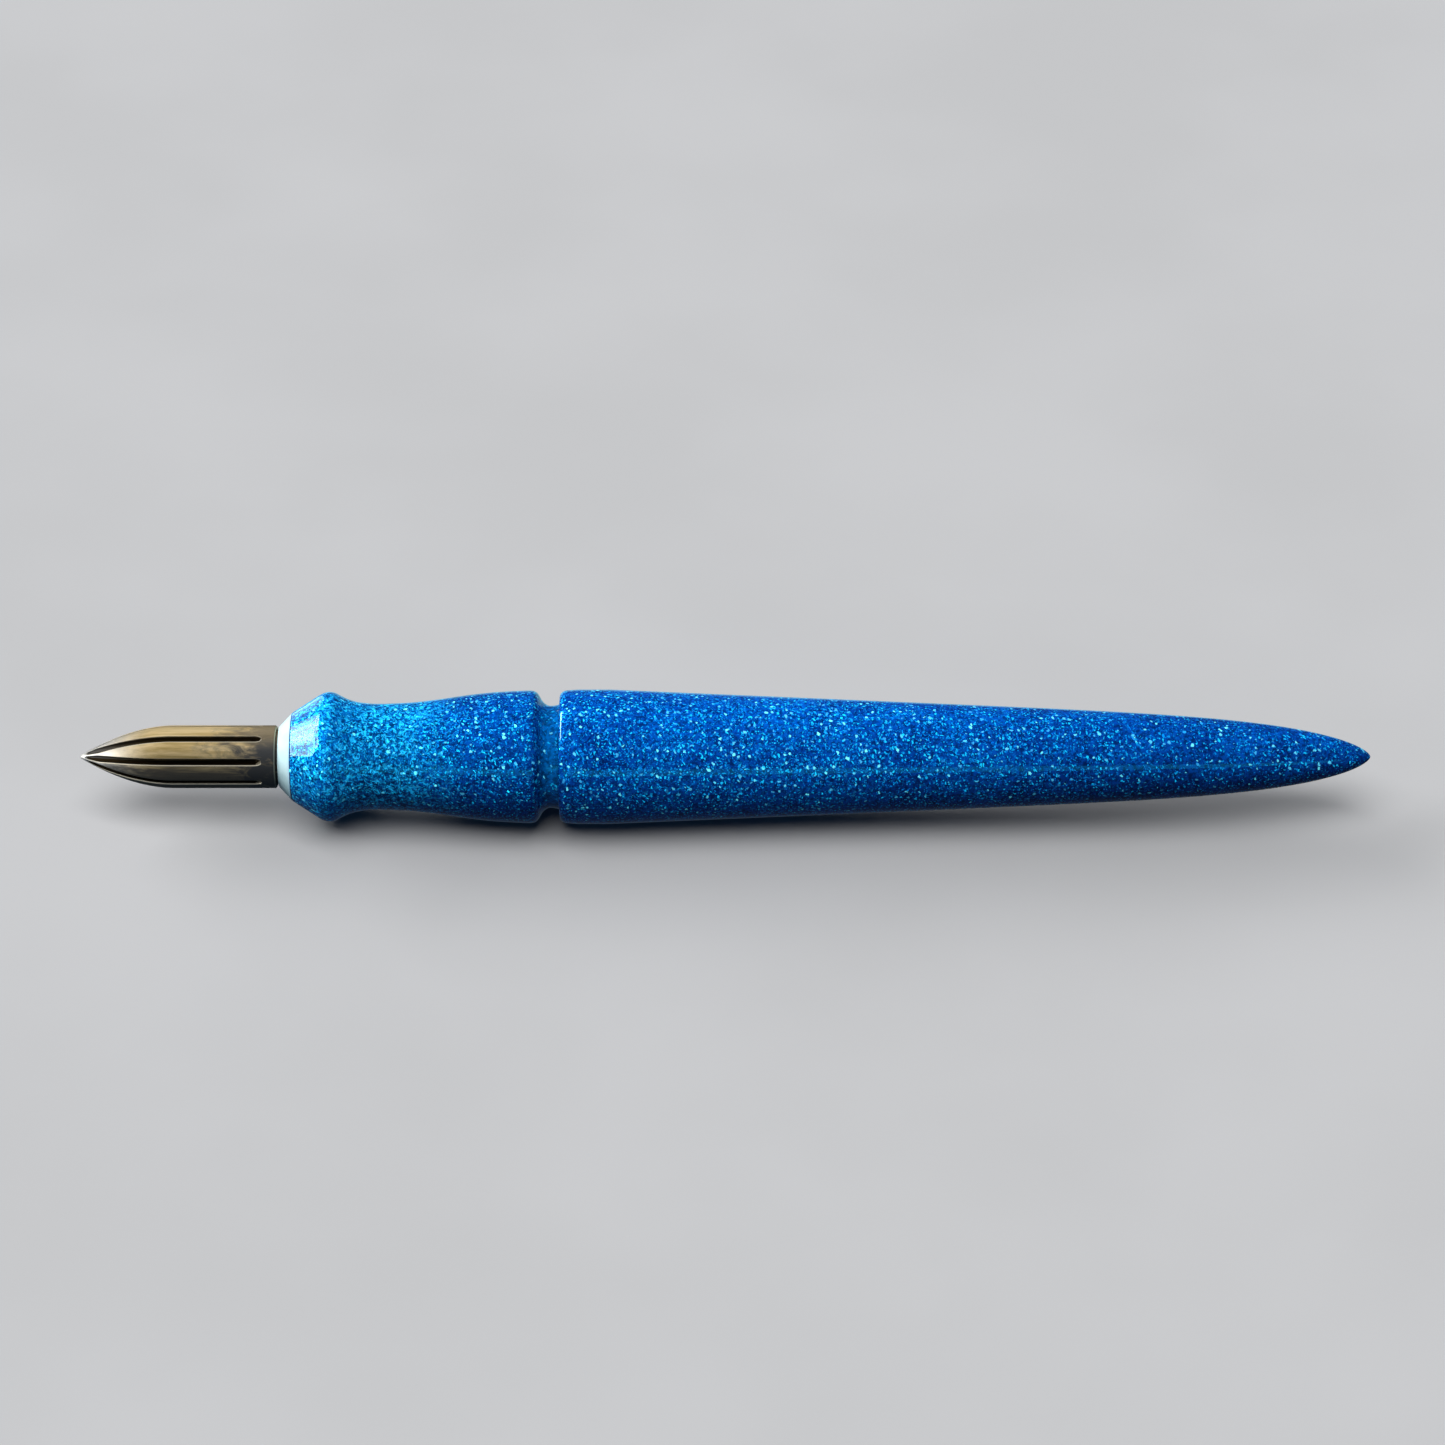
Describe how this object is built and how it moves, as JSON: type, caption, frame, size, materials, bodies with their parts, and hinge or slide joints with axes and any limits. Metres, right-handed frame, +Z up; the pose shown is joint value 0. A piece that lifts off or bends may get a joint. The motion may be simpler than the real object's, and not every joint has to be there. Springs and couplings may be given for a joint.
{
  "type": "dip pen",
  "caption": "Dip pen with a fluted brass nib held by a spring clip in a turned glitter-resin holder that tapers to a point.",
  "frame": {"origin": "on the surface the pen lies on, under the middle of its length and its centreline", "axes": "+X along the pen from the nib to the tail, +Z up from the surface, +Y across the pen"},
  "size_m": [0.1438, 0.015, 0.015],
  "materials": {
    "aged_brass": "fine-turned, bright and silvery at the tip, darkened by ink and age towards the shoulder",
    "pale_collar": "pale blue-white, satin, turned",
    "sleeve_brass": "drawn tube, semi-bright",
    "spring_steel": "pressed spring steel",
    "glitter_resin": "polished deep blue cast resin packed with fine blue and silver glitter"
  },
  "bodies": {
    "holder": {"barrel": "glitter_resin", "grip_section": "glitter_resin", "nose_collar": "pale_collar", "ferrule_sleeve": "sleeve_brass", "nib_clip": "spring_steel"},
    "nib": {"nib": "aged_brass"}
  },
  "joints": [
    {"name": "nib_pull", "type": "slide", "parent": "holder", "child": "nib", "axis": [-1, 0, 0], "range_m": [0, 0.012]}
  ]
}
